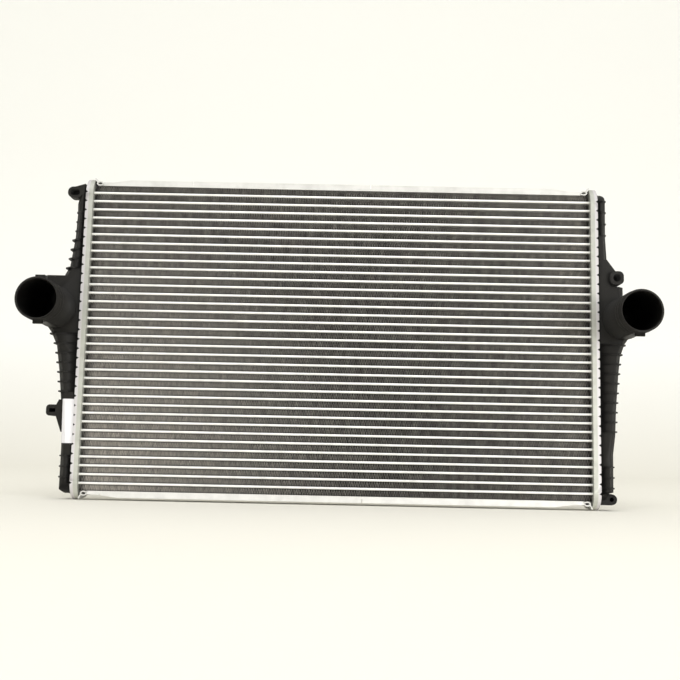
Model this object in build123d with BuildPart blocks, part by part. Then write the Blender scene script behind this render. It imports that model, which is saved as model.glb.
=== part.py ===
"""Intercooler for a car: a brazed aluminium core of flat tubes and folded fins, with a moulded
plastic air tank crimped on to each end.

The frame is the one the cooler has when it is fitted: +X runs along the tubes to the right,
+Z is up, and the two ports open towards -Y. The origin is the upper fixing hole of the
right-hand tank, at the face that the screw enters.
"""

import os

from build123d import *

# ---------------------------------------------------------------- driving dimensions, mm
# Core: flat tubes with a fin strip above and below each one
CORE_WIDTH = 615.0  # from one header to the other
TUBE_COUNT = 35
TUBE_PITCH = 10.5
TUBE_DEPTH = 32.0
TUBE_HEIGHT = 3.0
TUBE_WALL = 0.4
TUBE_STICK_OUT = 2.0  # past the header's floor, into the tank
FIN_SHEET = 0.3
FIN_FOLD = 100.0  # along the core; drawn long, since the real strip folds every 1.5 mm
FIN_SETBACK = 0.5  # behind the tube noses
FIN_END_GAP = 3.5  # bare tube between the fins and the header

# Side plates: channels that close the stack of tubes, top and bottom
PLATE_SHEET = 1.5
PLATE_FLANGE = 7.5
PLATE_END_FLANGE = 4.3  # the flange is lower beside the headers
PLATE_END_LENGTH = 22.0
PLATE_TAPER = 24.0
PLATE_SLIT = 1.0  # cut that lets the plate stretch when the core is hot
PLATE_SLIT_DEPTH = 4.5
TOP_SLITS = (-185.0, 36.0)
BOTTOM_SLITS = (-281.0, 32.0)

# Headers: pressed trays that hold the tube ends and are crimped over the tank's foot
HEADER_MARGIN = 6.0  # past the tube noses, front and back
HEADER_OVERHANG = 11.0  # past the last fin strip
HEADER_SHEET = 1.5
CRIMP_SHEET = 1.2
CRIMP_LAP = 3.3  # how far a tab reaches over the foot
CRIMP_PITCH = 11.5
CRIMP_GAP = 3.4  # the notch between two tabs, at the edge
CRIMP_NOTCH_DEPTH = 2.6

# Gasket and tank foot, inside the header
GASKET_THICK = 2.0
GASKET_WIDTH = 3.0
FOOT_CLEARANCE = 0.2
FOOT_THICK = 4.0

# Tanks
TANK_INSET = 2.5  # from the side of the header in to the tank's face
TANK_WALL = 2.5
TANK_BEVEL = 6.0  # along the corners of the front and the back
NECK_INSET = 1.7  # from the side of the foot in to the neck
NECK_HEIGHT = 3.0
TANK_END_INSET = 7.0  # from the end of the header to the end of the tank
CHAMBER_RISE = 40.0  # from the port's axis up to the flat top of the port chamber
CHAMBER_LAP = 10.0  # how far the upper part of the tank runs down into the chamber

# Outer walls of the tanks, as (share of the height, distance out of the header face). The upper
# walls run from the top of the port chamber to the top of the tank, the lower walls from the
# bottom of the tank to the top of the chamber
RIGHT_UPPER_WALL = ((1.0, 14.0), (0.966, 18.0), (0.908, 19.6), (0.513, 19.2), (0.269, 21.0))
RIGHT_UPPER_FOOT = 22.5
RIGHT_LOWER_WALL = (
    (1.0, 40.3), (0.894, 40.3), (0.795, 53.0), (0.735, 41.4), (0.674, 35.7), (0.587, 33.2),
    (0.432, 29.9), (0.314, 28.5), (0.227, 25.6), (0.057, 25.3), (0.05, 15.5), (0.0, 15.5),
)
LEFT_UPPER_WALL = (
    (1.0, 12.0), (0.916, 15.0), (0.765, 19.8), (0.655, 19.2), (0.412, 20.5), (0.109, 25.4), (0.0, 32.0),
)
LEFT_UPPER_FOOT = 32.0
LEFT_LOWER_WALL = (
    (1.0, 56.0), (0.902, 60.0), (0.795, 55.0), (0.735, 43.5), (0.674, 36.0), (0.561, 31.4),
    (0.424, 27.2), (0.277, 24.2), (0.201, 23.7), (0.019, 23.7), (0.0, 19.0),
)

# Ribs across the tanks
RIB_THICK = 1.8
RIGHT_RIB_PROUD = 2.0  # at the outer wall
LEFT_RIB_PROUD = 2.8
TALL_RIB_PROUD = 3.6
LOW_RIB_PROUD = 1.3
RIB_RELIEF = 0.8  # on the front and rear faces
RIB_PITCH = 11.7
FIRST_LOWER_RIB = 31.5  # below the port's axis
RIGHT_LOWER_RIBS = 10
LEFT_LOWER_RIBS = 7
FIRST_UPPER_RIB = 10.0  # above the chamber's flat top
LEFT_TALL_RIBS = 4
LEFT_UPPER_RIBS = 3  # above the tall ones
END_RIBS = 3
END_RIB_PITCH = 12.6
END_RIB_INSET = 19.8  # last rib above the bottom of the tank
TOP_RIBS = 4
TOP_RIB_PITCH = 14.4
TOP_RIB_INSET = 11.0

# Ports
PORT_OUT = 38.5  # from the header face out to the axis
PORT_RISE = 32.5  # from the core's centre up to the axis
PORT_REACH = 90.0  # from the middle of the core to the mouth
PORT_BORE = 22.5  # radius
PORT_WALL = 2.5
PORT_END_BEVEL = 9.0  # round the closed end of the barrel
PORT_LEAD_IN = 1.0
CLIP_INSET = 8.0  # from the mouth back to the clip tab
CLIP_LENGTH = 4.0
CLIP_WIDTH = 11.0
CLIP_PROUD = 3.5

# Fixing lugs. OUT is the distance out of the header face, RISE is above the core's centre
LUG_HOLE_DEPTH = 16.0
UPPER_LUG_OUT = 30.6
UPPER_LUG_RISE = 82.8
UPPER_LUG_SIZE = 16.6
UPPER_LUG_CORNER = 6.0
UPPER_LUG_HOLE = 4.75  # radius
UPPER_LUG_DEPTH = 20.0
UPPER_LUG_PROUD = 4.5  # in front of the tank's face
GUSSET_RISE = 15.0  # from the middle of the lug up to the start of the gusset's slope
GUSSET_SLOPE = 11.0
GUSSET_DEPTH = 30.0
GUSSET_SLIT = 7.0  # from the middle of the lug in to the end of the slit under it
EAR_OUT = 23.3
EAR_INSET = 6.6  # from the bottom of the tank up to the ear's hole
EAR_RADIUS = 6.4
EAR_HOLE = 2.6  # radius
EAR_BACK = 6.5  # from the tank's face back to the ear's face
EAR_DEPTH = 19.0
SOCKET_OUT = 22.9
SOCKET_INSET = 13.8  # from the top of the tank down to the middle of the socket
SOCKET_WIDTH = 11.5
SOCKET_HEIGHT = 7.6
SOCKET_RIM = 3.2
SOCKET_DEPTH = 13.0
SOCKET_FLOOR = 3.0
SOCKET_WEB_TOP = 3.0  # from the top of the tank down to the web beside the neck
SOCKET_WEB_FOOT = 17.0
BRACKET_OUT = 36.1
BRACKET_RISE = -92.3
BRACKET_HEIGHT = 13.6
BRACKET_TIP = 7.5  # from the middle of the slot to the tip
BRACKET_GUSSET = 12.0  # the outer end of the gussets, back from the tip
BRACKET_UP = 13.0  # from the middle of the bracket to the end of the upper gusset
BRACKET_UP_BACK = 15.0  # the same point, back from the tip
BRACKET_DOWN = 26.0
BRACKET_DOWN_BACK = 19.0
BRACKET_BACK = 2.5  # from the tank's face back to the bracket's face
BRACKET_DEPTH = 19.0
SLOT_LENGTH = 7.5
SLOT_HEIGHT = 4.5
SLOT_CORNER = 0.5  # left flat between the rounded corners of the socket

# Blank label on the left-hand tank
LABEL_HEIGHT = 53.0
LABEL_RISE = -105.0
LABEL_THICK = 0.2

# ---------------------------------------------------------------- places that follow from them
core_end = CORE_WIDTH / 2
fin_height = TUBE_PITCH - TUBE_HEIGHT
top_tube = (TUBE_COUNT - 1) / 2 * TUBE_PITCH
stack_top = top_tube + TUBE_HEIGHT / 2 + fin_height
header_length = 2 * (stack_top + HEADER_OVERHANG)
header_depth = TUBE_DEPTH + 2 * HEADER_MARGIN
foot_bottom = HEADER_SHEET + GASKET_THICK
foot_top = foot_bottom + FOOT_THICK
header_height = foot_top + CRIMP_SHEET
neck_top = foot_top + NECK_HEIGHT
tank_end = header_length / 2 - TANK_END_INSET
tank_depth = header_depth - 2 * TANK_INSET
tank_face = tank_depth / 2
chamber_top = PORT_RISE + CHAMBER_RISE
port_radius = PORT_BORE + PORT_WALL
port_x = core_end + PORT_OUT

# Planes through the middle of the core: level, seen from the front and seen from the right
core = Plane(
    origin=(-core_end - UPPER_LUG_OUT, tank_face + UPPER_LUG_PROUD, -UPPER_LUG_RISE)
)
front = Plane(core.origin, x_dir=(1, 0, 0), z_dir=(0, -1, 0))
side = Plane(core.origin, x_dir=(0, 1, 0), z_dir=(1, 0, 0))

os.makedirs("parts", exist_ok=True)


def save(part, name):
    """Label a finished piece and write it to its own file."""
    part.label = name
    export_step(part, f"parts/{name}.step")


# ---------------------------------------------------------------- tubes and fins
nose = TUBE_HEIGHT / 2
flat = TUBE_DEPTH / 2 - nose
with BuildSketch() as tube_outline:
    Polygon(
        (-flat, nose), (flat, nose), (flat + nose, 0),
        (flat, -nose), (-flat, -nose), (-flat - nose, 0),
        align=None,
    )

for number in range(TUBE_COUNT):
    with BuildPart() as tube:
        with BuildSketch(side):
            with Locations((0, top_tube - number * TUBE_PITCH)):
                add(tube_outline.sketch)
                Rectangle(2 * flat, TUBE_HEIGHT - 2 * TUBE_WALL, mode=Mode.SUBTRACT)
        extrude(amount=core_end + HEADER_SHEET + TUBE_STICK_OUT, both=True)
    save(tube.part, f"tube_{number + 1:02d}")

fin_length = CORE_WIDTH - 2 * FIN_END_GAP
folds = round(fin_length / FIN_FOLD)
crest = (fin_height - FIN_SHEET) / 2
zigzag = [
    (fin_length * (fold / folds - 0.5), crest * (-1) ** fold)
    for fold in range(folds + 1)
]
upper_side = [(x, z + FIN_SHEET / 2) for x, z in zigzag]
lower_side = [(x, z - FIN_SHEET / 2) for x, z in reversed(zigzag)]
with BuildPart() as fins:
    with BuildSketch(front):
        with GridLocations(1, TUBE_PITCH, 1, TUBE_COUNT + 1):
            Polygon(*upper_side, *lower_side, align=None)
    extrude(amount=TUBE_DEPTH / 2 - FIN_SETBACK, both=True)
save(fins.part, "fins")


# ---------------------------------------------------------------- side plates
def side_plate(slits):
    """The upper side plate: a channel with low ends and cuts that let it stretch."""
    flange_top = stack_top + PLATE_FLANGE
    low_end = core_end - PLATE_END_LENGTH
    low_top = stack_top + PLATE_END_FLANGE
    with BuildPart() as plate:
        with BuildSketch(side):
            with Locations((0, stack_top)):
                Rectangle(TUBE_DEPTH, PLATE_FLANGE, align=(Align.CENTER, Align.MIN))
            with Locations((0, stack_top + PLATE_SHEET)):
                Rectangle(
                    TUBE_DEPTH - 2 * PLATE_SHEET,
                    PLATE_FLANGE,
                    align=(Align.CENTER, Align.MIN),
                    mode=Mode.SUBTRACT,
                )
        extrude(amount=core_end, both=True)
        with BuildSketch(front):
            Polygon(
                (core_end, low_top),
                (core_end, flange_top),
                (low_end - PLATE_TAPER, flange_top),
                (low_end, low_top),
                align=None,
            )
            mirror(about=Plane.YZ)
            with Locations(*[(x, flange_top) for x in slits]):
                Rectangle(PLATE_SLIT, 2 * PLATE_SLIT_DEPTH)
        extrude(amount=TUBE_DEPTH, both=True, mode=Mode.SUBTRACT)
    return plate.part


save(side_plate(TOP_SLITS), "side_plate_top")
save(mirror(side_plate(BOTTOM_SLITS), about=core), "side_plate_bottom")

# ---------------------------------------------------------------- headers and gaskets
inner_length = header_length - 2 * HEADER_SHEET
inner_depth = header_depth - 2 * HEADER_SHEET
notch_count = int((header_length - header_depth / 2) / CRIMP_PITCH)
with BuildPart() as header:
    with BuildSketch(side.offset(core_end)):
        SlotOverall(header_length, header_depth, rotation=90)
    extrude(amount=header_height)
    with BuildSketch(side.offset(core_end + HEADER_SHEET)):
        SlotOverall(inner_length, inner_depth, rotation=90)
    extrude(amount=foot_top - HEADER_SHEET, mode=Mode.SUBTRACT)
    with BuildSketch(side.offset(core_end + foot_top)):
        SlotOverall(header_length - 2 * CRIMP_LAP, header_depth - 2 * CRIMP_LAP, rotation=90)
    extrude(amount=CRIMP_SHEET, mode=Mode.SUBTRACT)
    with BuildSketch(side.offset(core_end)):
        with GridLocations(1, TUBE_PITCH, 1, TUBE_COUNT):
            add(tube_outline.sketch)
    extrude(amount=HEADER_SHEET, mode=Mode.SUBTRACT)
    with BuildSketch(front):
        with Locations((core_end + header_height, 0)):
            with GridLocations(1, CRIMP_PITCH, 1, notch_count):
                Polygon(
                    (0, CRIMP_GAP / 2),
                    (-CRIMP_NOTCH_DEPTH, 0),
                    (0, -CRIMP_GAP / 2),
                    align=None,
                )
    extrude(amount=header_depth, both=True, mode=Mode.SUBTRACT)
save(header.part, "header_right")
save(mirror(header.part, about=side), "header_left")

foot_length = inner_length - 2 * FOOT_CLEARANCE
foot_depth = inner_depth - 2 * FOOT_CLEARANCE
with BuildPart() as gasket:
    with BuildSketch(side.offset(core_end + HEADER_SHEET)):
        SlotOverall(foot_length, foot_depth, rotation=90)
        SlotOverall(
            foot_length - 2 * GASKET_WIDTH,
            foot_depth - 2 * GASKET_WIDTH,
            rotation=90,
            mode=Mode.SUBTRACT,
        )
    extrude(amount=GASKET_THICK)
save(gasket.part, "gasket_right")
save(mirror(gasket.part, about=side), "gasket_left")


# ---------------------------------------------------------------- ports, drawn at the right
def barrel(radius, closed_end, bevel):
    """A round bar from the port's mouth back to its closed end, which is bevelled."""
    with BuildPart() as bar:
        with BuildSketch(front.offset(-closed_end)):
            with Locations((port_x, PORT_RISE)):
                Circle(radius)
        extrude(amount=PORT_REACH + closed_end)
        chamfer(bar.faces().sort_by(Axis.Y)[-1].edges(), length=bevel)
    return bar


port = barrel(port_radius, tank_face, PORT_END_BEVEL)
port_space = barrel(PORT_BORE, tank_face - TANK_WALL, PORT_END_BEVEL)


# ---------------------------------------------------------------- tanks, both drawn at the right
def upper_wall(shares, foot):
    """Stations of the wall above the port chamber, run down into the chamber at its foot."""
    rise = tank_end - chamber_top
    stations = [(chamber_top + share * rise, out) for share, out in shares]
    return stations + [(chamber_top - CHAMBER_LAP, foot)]


def lower_wall(shares):
    """Stations of the wall from the top of the port chamber down to the bottom of the tank."""
    rise = chamber_top + tank_end
    return [(share * rise - tank_end, out) for share, out in shares]


def tank_form(wall, base, grow):
    """The tank between base and its outer wall, grown or, for the air space, shrunk."""
    top, bottom = wall[0][0] + grow, wall[-1][0] - grow
    with BuildPart() as form:
        for rise, out in wall:
            width = out + grow - base
            with BuildSketch(core.offset(min(max(rise, bottom), top))) as section:
                with Locations((core_end + base, 0)):
                    Rectangle(width, tank_depth + 2 * grow, align=(Align.MIN, Align.CENTER))
                corners = section.vertices().group_by(Axis.X)[-1]
                chamfer(corners, length=min(TANK_BEVEL + grow / 2, width / 2))
        loft(ruled=True)
        with BuildSketch(side.offset(core_end)):
            SlotOverall(2 * (tank_end + grow), tank_depth + 2 * grow, rotation=90)
        extrude(amount=PORT_OUT + port_radius, mode=Mode.INTERSECT)
    return form.part


def rib(wall, rise, proud):
    """One rib: a thin plate that follows the tank's section and stands proud of it."""
    above = [station for station in wall if station[0] >= rise][-1]
    below = [station for station in wall if station[0] < rise][0]
    share = (above[0] - rise) / (above[0] - below[0])
    width = above[1] + share * (below[1] - above[1]) + proud - neck_top
    with BuildPart() as plate:
        with BuildSketch(core.offset(rise - RIB_THICK / 2)) as section:
            with Locations((core_end + neck_top, 0)):
                Rectangle(width, tank_depth + 2 * RIB_RELIEF, align=(Align.MIN, Align.CENTER))
            chamfer(section.vertices().group_by(Axis.X)[-1], length=TANK_BEVEL)
        extrude(amount=RIB_THICK)
    return plate.part


def tank(walls, upper_ribs, lower_ribs, clips, lugs, holes):
    """A whole tank: foot, neck, body, ribs, port and lugs, then the air space and the holes."""
    solids = [tank_form(wall, neck_top, 0) for wall in walls]
    solids += [rib(walls[0], rise, proud) for rise, proud in upper_ribs]
    solids += [rib(walls[1], rise, proud) for rise, proud in lower_ribs]
    spaces = [tank_form(wall, foot_bottom, -TANK_WALL) for wall in walls]
    with BuildPart() as shell:
        with BuildSketch(side.offset(core_end + foot_bottom)):
            SlotOverall(foot_length, foot_depth, rotation=90)
        extrude(amount=FOOT_THICK)
        with BuildSketch(side.offset(core_end + foot_top)):
            SlotOverall(foot_length - 2 * NECK_INSET, foot_depth - 2 * NECK_INSET, rotation=90)
        extrude(amount=NECK_HEIGHT)
        add(solids)
        add(lugs)
        add(port.part)
        with BuildSketch(front.offset(PORT_REACH - CLIP_INSET - CLIP_LENGTH)):
            with Locations(*[(port_x, PORT_RISE + way * port_radius) for way in clips]):
                Rectangle(CLIP_WIDTH, 2 * CLIP_PROUD)
        extrude(amount=CLIP_LENGTH)
        with BuildSketch(side.offset(core_end + foot_bottom)):
            SlotOverall(
                foot_length - foot_depth + tank_depth - 2 * TANK_WALL,
                tank_depth - 2 * TANK_WALL,
                rotation=90,
            )
        extrude(amount=FOOT_THICK, mode=Mode.SUBTRACT)
        add(spaces, mode=Mode.SUBTRACT)
        add(port_space.part, mode=Mode.SUBTRACT)
        rim = shell.edges().filter_by(GeomType.CIRCLE).group_by(Axis.Y)[0]
        chamfer(rim.sort_by(SortBy.RADIUS)[0], length=PORT_LEAD_IN)
        add(holes, mode=Mode.SUBTRACT)
    return shell.part


def run_of(first, step, count, proud):
    """Evenly spaced ribs as (height, how far each stands proud)."""
    return [(first + step * number, proud) for number in range(count)]


first_lower = PORT_RISE - FIRST_LOWER_RIB
first_upper = chamber_top + FIRST_UPPER_RIB
end_ribs = run_of(END_RIB_INSET - tank_end, END_RIB_PITCH, END_RIBS, LOW_RIB_PROUD)

# The right-hand tank: a screw boss above the port and an ear with a hole at the bottom
upper_lug = (core_end + UPPER_LUG_OUT, UPPER_LUG_RISE)
ear = (core_end + EAR_OUT, -tank_end + EAR_INSET)
ear_face = tank_face - EAR_BACK
with BuildPart() as right_lugs:
    with BuildSketch(front.offset(tank_face + UPPER_LUG_PROUD - UPPER_LUG_DEPTH)):
        with Locations(upper_lug):
            RectangleRounded(UPPER_LUG_SIZE, UPPER_LUG_SIZE, UPPER_LUG_CORNER)
    extrude(amount=UPPER_LUG_DEPTH)
    with BuildSketch(front.offset(tank_face - GUSSET_DEPTH)):
        with Locations(upper_lug):
            Polygon(
                (-UPPER_LUG_SIZE, -UPPER_LUG_SIZE),
                (-GUSSET_SLIT, -UPPER_LUG_SIZE),
                (-GUSSET_SLIT, -UPPER_LUG_SIZE / 2),
                (0, -UPPER_LUG_SIZE / 2),
                (0, UPPER_LUG_SIZE / 2),
                (-GUSSET_SLOPE, UPPER_LUG_SIZE / 2 + GUSSET_RISE),
                (-UPPER_LUG_SIZE, UPPER_LUG_SIZE / 2 + GUSSET_RISE),
                align=None,
            )
    extrude(amount=GUSSET_DEPTH)
    with BuildSketch(front.offset(ear_face - EAR_DEPTH)):
        with Locations(ear):
            Circle(EAR_RADIUS)
            Rectangle(EAR_OUT - neck_top, 2 * EAR_INSET, align=(Align.MAX, Align.CENTER))
    extrude(amount=EAR_DEPTH)
with BuildPart() as right_holes:
    with BuildSketch(front.offset(tank_face + UPPER_LUG_PROUD)):
        with Locations(upper_lug):
            Circle(UPPER_LUG_HOLE)
    extrude(amount=-LUG_HOLE_DEPTH)
    with BuildSketch(front.offset(ear_face)):
        with Locations(ear):
            Circle(EAR_HOLE)
    extrude(amount=-LUG_HOLE_DEPTH)
right_tank = tank(
    (upper_wall(RIGHT_UPPER_WALL, RIGHT_UPPER_FOOT), lower_wall(RIGHT_LOWER_WALL)),
    run_of(tank_end - TOP_RIB_INSET, -TOP_RIB_PITCH, TOP_RIBS, LOW_RIB_PROUD),
    run_of(first_lower, -RIB_PITCH, RIGHT_LOWER_RIBS, RIGHT_RIB_PROUD) + end_ribs,
    clips=(-1,),
    lugs=right_lugs.part,
    holes=right_holes.part,
)
save(right_tank, "tank_right")

# The left-hand tank: a socket for a cushioned peg at the top and a slotted bracket
socket = (core_end + SOCKET_OUT, tank_end - SOCKET_INSET)
bracket = (core_end + BRACKET_OUT, BRACKET_RISE)
bracket_face = tank_face - BRACKET_BACK
tip = core_end + BRACKET_OUT + BRACKET_TIP
with BuildPart() as left_lugs:
    with BuildSketch(front.offset(tank_face - SOCKET_DEPTH)):
        with Locations(socket):
            RectangleRounded(
                SOCKET_WIDTH + 2 * SOCKET_RIM,
                SOCKET_HEIGHT + 2 * SOCKET_RIM,
                SOCKET_HEIGHT / 2 + SOCKET_RIM - SLOT_CORNER,
            )
            Polygon(
                (neck_top - SOCKET_OUT, SOCKET_INSET - SOCKET_WEB_TOP),
                (0, SOCKET_HEIGHT / 2 + SOCKET_RIM),
                (0, -SOCKET_HEIGHT / 2),
                (neck_top - SOCKET_OUT, SOCKET_INSET - SOCKET_WEB_FOOT),
                align=None,
            )
    extrude(amount=SOCKET_DEPTH)
    with BuildSketch(front.offset(bracket_face - BRACKET_DEPTH)) as bracket_outline:
        Polygon(
            (core_end + neck_top, BRACKET_RISE + BRACKET_UP),
            (tip - BRACKET_UP_BACK, BRACKET_RISE + BRACKET_UP),
            (tip - BRACKET_GUSSET, BRACKET_RISE + BRACKET_HEIGHT / 2),
            (tip, BRACKET_RISE + BRACKET_HEIGHT / 2),
            (tip, BRACKET_RISE - BRACKET_HEIGHT / 2),
            (tip - BRACKET_GUSSET, BRACKET_RISE - BRACKET_HEIGHT / 2),
            (tip - BRACKET_DOWN_BACK, BRACKET_RISE - BRACKET_DOWN),
            (core_end + neck_top, BRACKET_RISE - BRACKET_DOWN),
            align=None,
        )
        fillet(bracket_outline.vertices().group_by(Axis.X)[-1], radius=SLOT_HEIGHT)
    extrude(amount=BRACKET_DEPTH)
with BuildPart() as left_holes:
    with BuildSketch(front.offset(tank_face)):
        with Locations(socket):
            RectangleRounded(SOCKET_WIDTH, SOCKET_HEIGHT, SOCKET_HEIGHT / 2 - SLOT_CORNER)
    extrude(amount=SOCKET_FLOOR - SOCKET_DEPTH)
    with BuildSketch(front.offset(bracket_face)):
        with Locations(bracket):
            Rectangle(SLOT_LENGTH, SLOT_HEIGHT)
    extrude(amount=-LUG_HOLE_DEPTH)
left_lower = lower_wall(LEFT_LOWER_WALL)
left_tank = tank(
    (upper_wall(LEFT_UPPER_WALL, LEFT_UPPER_FOOT), left_lower),
    run_of(first_upper, RIB_PITCH, LEFT_TALL_RIBS, TALL_RIB_PROUD)
    + run_of(first_upper + LEFT_TALL_RIBS * RIB_PITCH, RIB_PITCH, LEFT_UPPER_RIBS, LOW_RIB_PROUD),
    run_of(first_lower, -RIB_PITCH, LEFT_LOWER_RIBS, LEFT_RIB_PROUD) + end_ribs,
    clips=(-1, 1),
    lugs=left_lugs.part,
    holes=left_holes.part,
)
save(mirror(left_tank, about=side), "tank_left")

# ---------------------------------------------------------------- label
with BuildPart() as label:
    add(tank_form(left_lower, neck_top, LABEL_THICK))
    with BuildSketch(front.offset(tank_face - BRACKET_BACK)):
        with Locations((core_end + neck_top, LABEL_RISE)):
            Rectangle(PORT_OUT, LABEL_HEIGHT, align=(Align.MIN, Align.CENTER))
    extrude(amount=BRACKET_BACK + LABEL_THICK, mode=Mode.INTERSECT)
    add(tank_form(left_lower, neck_top, 0), mode=Mode.SUBTRACT)
save(mirror(label.part, about=side), "label")
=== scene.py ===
"""Finishes the intercooler for rendering: folded fins, round-nosed tubes, rolled plate ends, metal
and plastic finishes, and a plain pale studio. Lengths are in metres, in the CAD model's frame."""

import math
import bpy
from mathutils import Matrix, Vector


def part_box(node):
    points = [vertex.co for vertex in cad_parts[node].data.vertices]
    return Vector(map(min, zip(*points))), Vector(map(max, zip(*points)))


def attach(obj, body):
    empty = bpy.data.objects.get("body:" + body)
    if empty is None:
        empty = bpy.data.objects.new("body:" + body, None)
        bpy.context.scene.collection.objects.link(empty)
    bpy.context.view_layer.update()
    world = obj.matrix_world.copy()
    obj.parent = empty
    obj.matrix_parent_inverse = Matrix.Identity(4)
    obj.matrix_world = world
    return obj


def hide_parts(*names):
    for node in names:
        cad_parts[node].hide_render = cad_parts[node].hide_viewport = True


bl_info = {
    "name": "Intercooler Finish",
    "version": (1, 0, 0),
    "blender": (4, 5, 0),
    "location": "View3D > Sidebar > Intercooler",
    "description": "Builds the fins, tubes, finishes and studio of an intercooler",
    "category": "Object",
}

import bmesh
import bpy
from mathutils import Matrix, Vector

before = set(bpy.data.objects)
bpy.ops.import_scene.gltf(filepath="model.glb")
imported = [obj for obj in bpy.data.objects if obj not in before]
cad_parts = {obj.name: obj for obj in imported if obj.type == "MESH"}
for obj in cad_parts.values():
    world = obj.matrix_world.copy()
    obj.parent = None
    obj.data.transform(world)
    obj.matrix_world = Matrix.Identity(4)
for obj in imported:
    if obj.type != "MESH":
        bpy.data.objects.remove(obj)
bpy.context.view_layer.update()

BODY = "root"
TUBES = sorted(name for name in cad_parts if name.startswith("tube_"))
FIRST_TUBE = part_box(TUBES[0])
LAST_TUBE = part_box(TUBES[-1])
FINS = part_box("fins")
TUBE_PITCH = (FIRST_TUBE[0].z - LAST_TUBE[0].z) / (len(TUBES) - 1)
TUBE_HEIGHT = FIRST_TUBE[1].z - FIRST_TUBE[0].z
FIN_HEIGHT = TUBE_PITCH - TUBE_HEIGHT
CORE_MIDDLE = (FINS[0] + FINS[1]) / 2
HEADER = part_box("header_right")
HEADER_FACE = HEADER[0].x - CORE_MIDDLE.x  # from the core's middle to either header
FLOOR = HEADER[0].z
MERGE_DISTANCE = 1e-6  # corners nearer to each other than this become one
FLAT_ANGLE = math.radians(0.5)  # faces that meet flatter than this become one
NOISE = (0.3, 0.7)  # nearly all of a noise lies between these
MASK = (0.0, 1.0)
FADE = (1.0, 0.0)


# ---------------------------------------------------------------- properties
class FinProperties(bpy.types.PropertyGroup):
    """Sizes and colours of the folded fin strips."""

    pitch: bpy.props.FloatProperty(
        name="Fold Pitch", description="Length of one fold along the tube",
        default=0.003, min=0.001, unit="LENGTH",
    )
    sheet: bpy.props.FloatProperty(
        name="Sheet", description="Thickness of the fin strip",
        default=0.0002, min=0.00005, unit="LENGTH",
    )
    swings: bpy.props.FloatVectorProperty(
        name="Swings", description="How far the folds swing sideways, from the front to the back",
        default=(0.0, 0.0008, -0.0016, 0.0016, -0.0008, 0.0), size=6, unit="LENGTH",
    )
    reach: bpy.props.FloatProperty(
        name="Reach", description="How much nearer the fins come to the headers",
        default=0.0024, min=0.0, unit="LENGTH",
    )
    colour: bpy.props.FloatVectorProperty(
        name="Fin Colour", description="Colour of the bare strip",
        default=(0.24, 0.225, 0.205), subtype="COLOR",
    )
    # Painted sheen: the strips are painted paler toward the lower left corner of the core
    painted_sheen_colour: bpy.props.FloatVectorProperty(
        name="Painted Sheen Colour", description="Colour of the strip in its palest corner",
        default=(0.64, 0.60, 0.55), subtype="COLOR",
    )
    painted_sheen_reach: bpy.props.FloatVectorProperty(
        name="Painted Sheen Reach", description="Where the pale corner starts to fade and ends",
        default=(0.03, 0.36), size=2, unit="LENGTH",
    )
    streak_stretch: bpy.props.FloatVectorProperty(
        name="Streak Stretch", description="How close together the upright streaks lie, per metre",
        default=(420.0, 20.0, 85.0),
    )
    streak_range: bpy.props.FloatVectorProperty(
        name="Streak Range", description="Darkest and palest streak against the strip's colour",
        default=(0.74, 1.26), size=2,
    )
    # Painted light: the strips are painted paler toward the right-hand header
    right_light_lift: bpy.props.FloatProperty(
        name="Right Light Lift", description="How much paler the strips are at the right-hand header",
        default=1.5,
    )
    # Painted shade: the strips are painted dark at their ends next to the headers
    end_shade: bpy.props.FloatProperty(
        name="End Shade", description="From the headers to where the strips' dark ends fade",
        default=0.011, unit="LENGTH",
    )
    end_shade_tone: bpy.props.FloatProperty(
        name="End Shade Tone", description="What is left of the strips' colour at the headers",
        default=0.05,
    )
    # Painted shade: the strips are painted darker next to the tubes
    edge_shade_tone: bpy.props.FloatProperty(
        name="Edge Shade Tone", description="What is left of the strips' colour next to the tubes",
        default=0.45,
    )
    patch_stretch: bpy.props.FloatVectorProperty(
        name="Patch Stretch", description="How close together the dull patches lie, per metre",
        default=(140.0, 20.0, 60.0),
    )
    patch_range: bpy.props.FloatVectorProperty(
        name="Patch Range", description="Dullest and palest patch against the strip's colour",
        default=(0.78, 1.4), size=2,
    )


class TubeProperties(bpy.types.PropertyGroup):
    """Shape and colour of the flat tubes."""

    nose_steps: bpy.props.IntProperty(
        name="Nose Steps", description="Faces round each nose of a tube", default=8, min=2
    )
    colour: bpy.props.FloatVectorProperty(
        name="Tube Colour", description="Colour of the brazed tubes",
        default=(0.88, 0.88, 0.85), subtype="COLOR",
    )


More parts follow.
